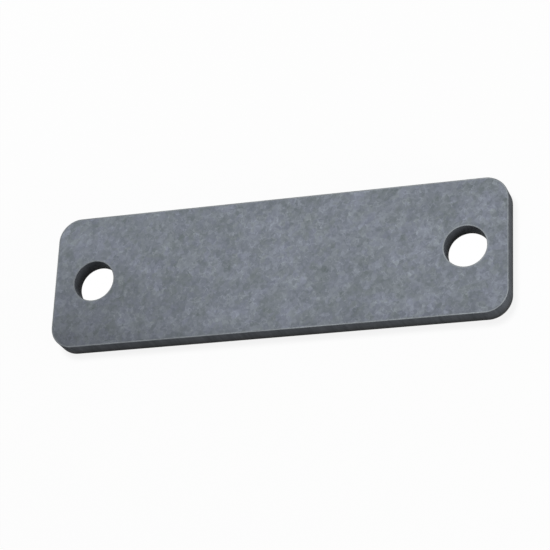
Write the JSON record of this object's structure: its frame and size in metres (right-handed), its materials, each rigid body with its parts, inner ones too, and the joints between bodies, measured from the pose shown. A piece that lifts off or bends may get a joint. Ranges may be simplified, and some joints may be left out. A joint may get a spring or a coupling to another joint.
{
  "type": "mounting plate",
  "caption": "Flat steel mounting plate with rounded corners, lightly broken edges and a round bolt hole near each end.",
  "frame": {"origin": "middle of the flat back face, on which the plate lies", "axes": "+X along the plate's length, towards the right-hand hole; +Y across its width; +Z through its thickness, out of the front face"},
  "size_m": [0.1, 0.03, 0.004],
  "materials": {
    "steel": "matt mottled blue-grey mill surface, with darker cut sides and hole walls"
  },
  "bodies": {
    "root": {"plate": "steel"}
  },
  "joints": []
}
